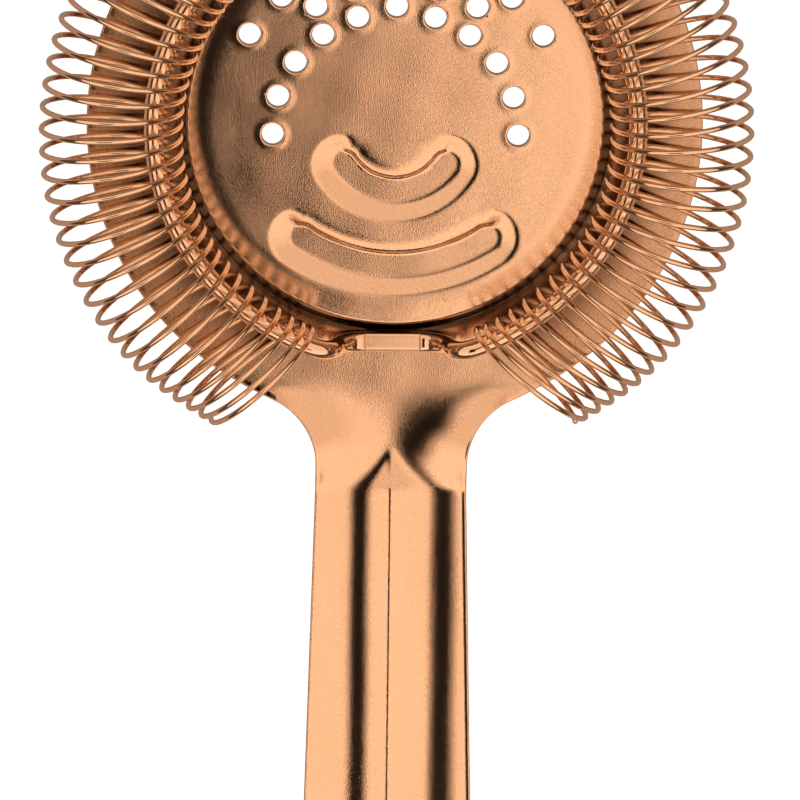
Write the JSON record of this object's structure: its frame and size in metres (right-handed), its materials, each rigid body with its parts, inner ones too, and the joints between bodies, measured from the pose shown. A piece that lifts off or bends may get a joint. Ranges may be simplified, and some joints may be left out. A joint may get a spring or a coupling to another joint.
{
  "type": "hawthorne strainer",
  "caption": "Cocktail strainer: perforated stamped plate with a ribbed handle, a welded wire hoop and a coil spring that slides on the hoop.",
  "frame": {"origin": "centre of the raised disc, on the flat back of the plate's flange", "axes": "+Z out of the side that carries the spring, -Y along the handle, +X to the right when the spring faces the viewer and the handle points down"},
  "size_m": [0.0968, 0.1864, 0.0214],
  "materials": {
    "plate": "copper plated, finely brushed along the handle, then polished",
    "hoop_wire": "copper plated, bright",
    "spring_wire": "copper plated, bright"
  },
  "bodies": {
    "strainer": {"plate_with_handle": "plate", "hoop": "hoop_wire"},
    "spring": {"spring": "spring_wire"}
  },
  "joints": [
    {"name": "spring_slide", "type": "hinge", "parent": "strainer", "child": "spring", "pos_m": [0, 0, 0.0114], "axis": [0, 0, 1], "range_deg": [-3, 3]}
  ]
}
